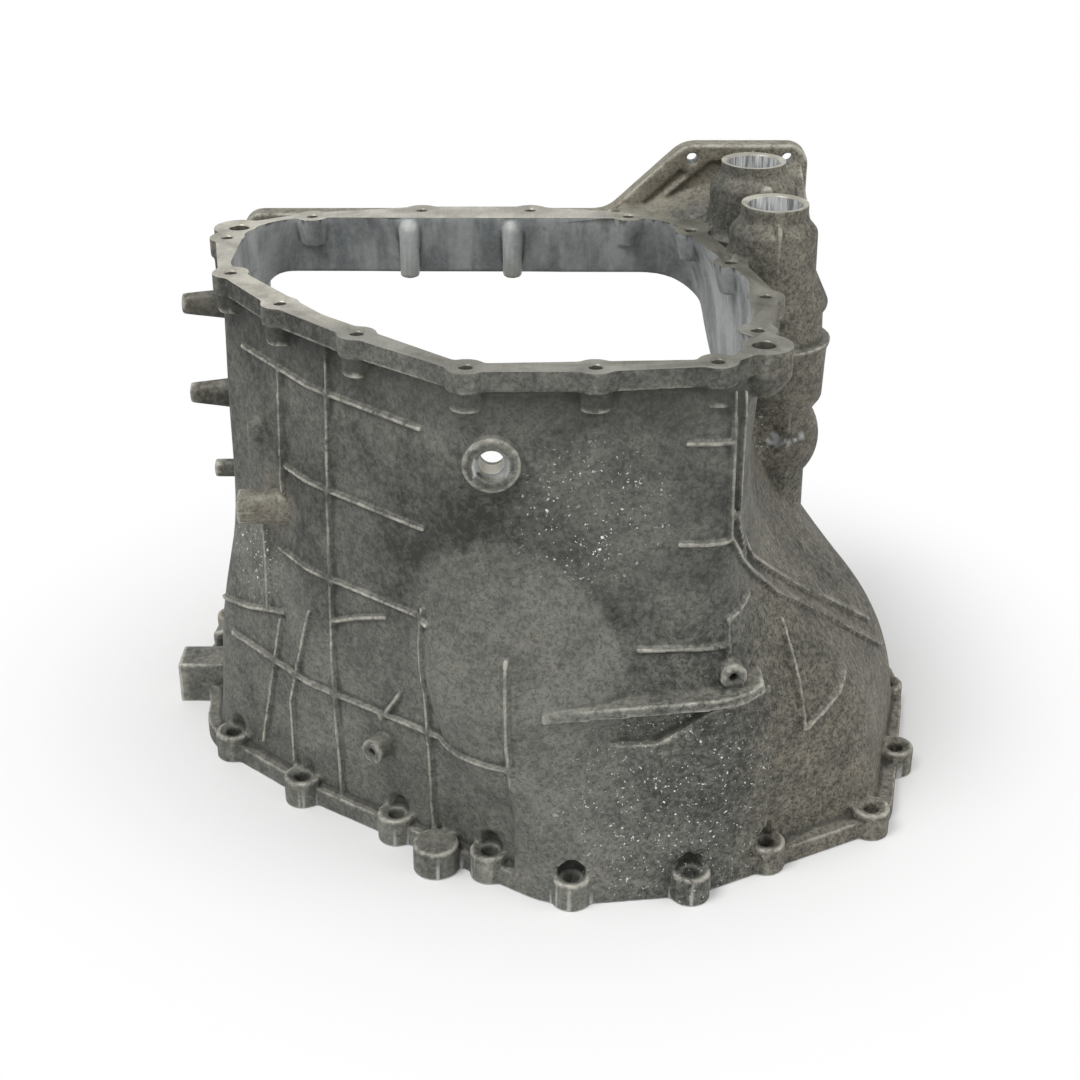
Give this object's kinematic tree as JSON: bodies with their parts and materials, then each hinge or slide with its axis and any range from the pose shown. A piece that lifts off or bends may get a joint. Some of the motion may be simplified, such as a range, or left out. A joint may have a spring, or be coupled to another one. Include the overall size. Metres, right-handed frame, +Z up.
{
  "type": "gearbox housing",
  "caption": "Die-cast light-alloy gearbox housing, open at top, foot and rear window, with bolt flanges, ribbed walls, two upright tubes and an oil plug boss.",
  "frame": {"origin": "centre of the bell flange's foot, on the bell's axis", "axes": "+Z up from the bell flange to the top flange, +Y towards the rear cover window, +X towards the tubes"},
  "size_m": [0.465, 0.465, 0.3405],
  "materials": {
    "cast_aluminium": "as cast and weathered, with machined flange faces and bores"
  },
  "bodies": {
    "root": {"housing_casting": "cast_aluminium"}
  },
  "joints": []
}
